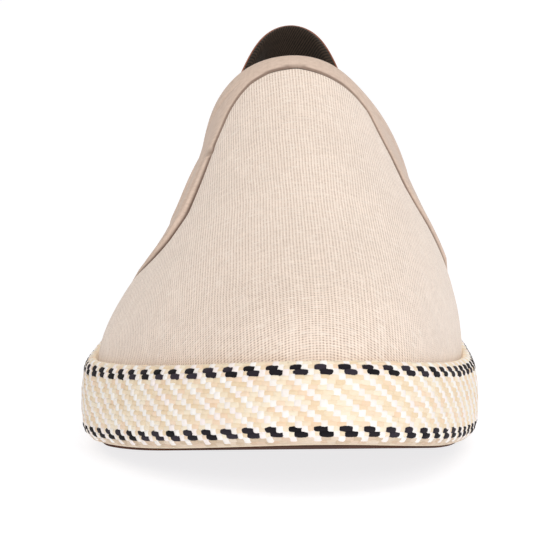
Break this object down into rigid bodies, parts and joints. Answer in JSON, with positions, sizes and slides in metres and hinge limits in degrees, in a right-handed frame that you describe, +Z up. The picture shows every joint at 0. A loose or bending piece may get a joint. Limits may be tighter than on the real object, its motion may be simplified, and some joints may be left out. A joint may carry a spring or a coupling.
{
  "type": "espadrille",
  "caption": "Slip-on cloth espadrille for the right foot: striped canvas upper, open collar, flat sole wrapped in woven jute tape with dark dashes.",
  "frame": {"origin": "on the floor, under the middle of the shoe's box", "axes": "-Y towards the toe, +Y towards the heel, +X towards the inner side of the foot, +Z up"},
  "size_m": [0.1032, 0.2885, 0.0967],
  "materials": {
    "outsole_rubber": "matt brown rubber, finely ribbed",
    "rope_sole": "coiled jute rope",
    "jute_tape": "woven jute and white yarn with dark blue dashes along both edges",
    "striped_canvas": "fine lengthwise cream and beige stripes",
    "collar_cloth": "plain beige cotton strip",
    "heel_leather": "reddish brown smooth leather",
    "dark_lining": "dark brown twill"
  },
  "bodies": {
    "root": {"outsole": "outsole_rubber", "midsole": "rope_sole", "foxing_band": "jute_tape", "upper": "striped_canvas", "collar_band": "collar_cloth", "heel_patch": "heel_leather", "insole": "dark_lining"}
  },
  "joints": []
}
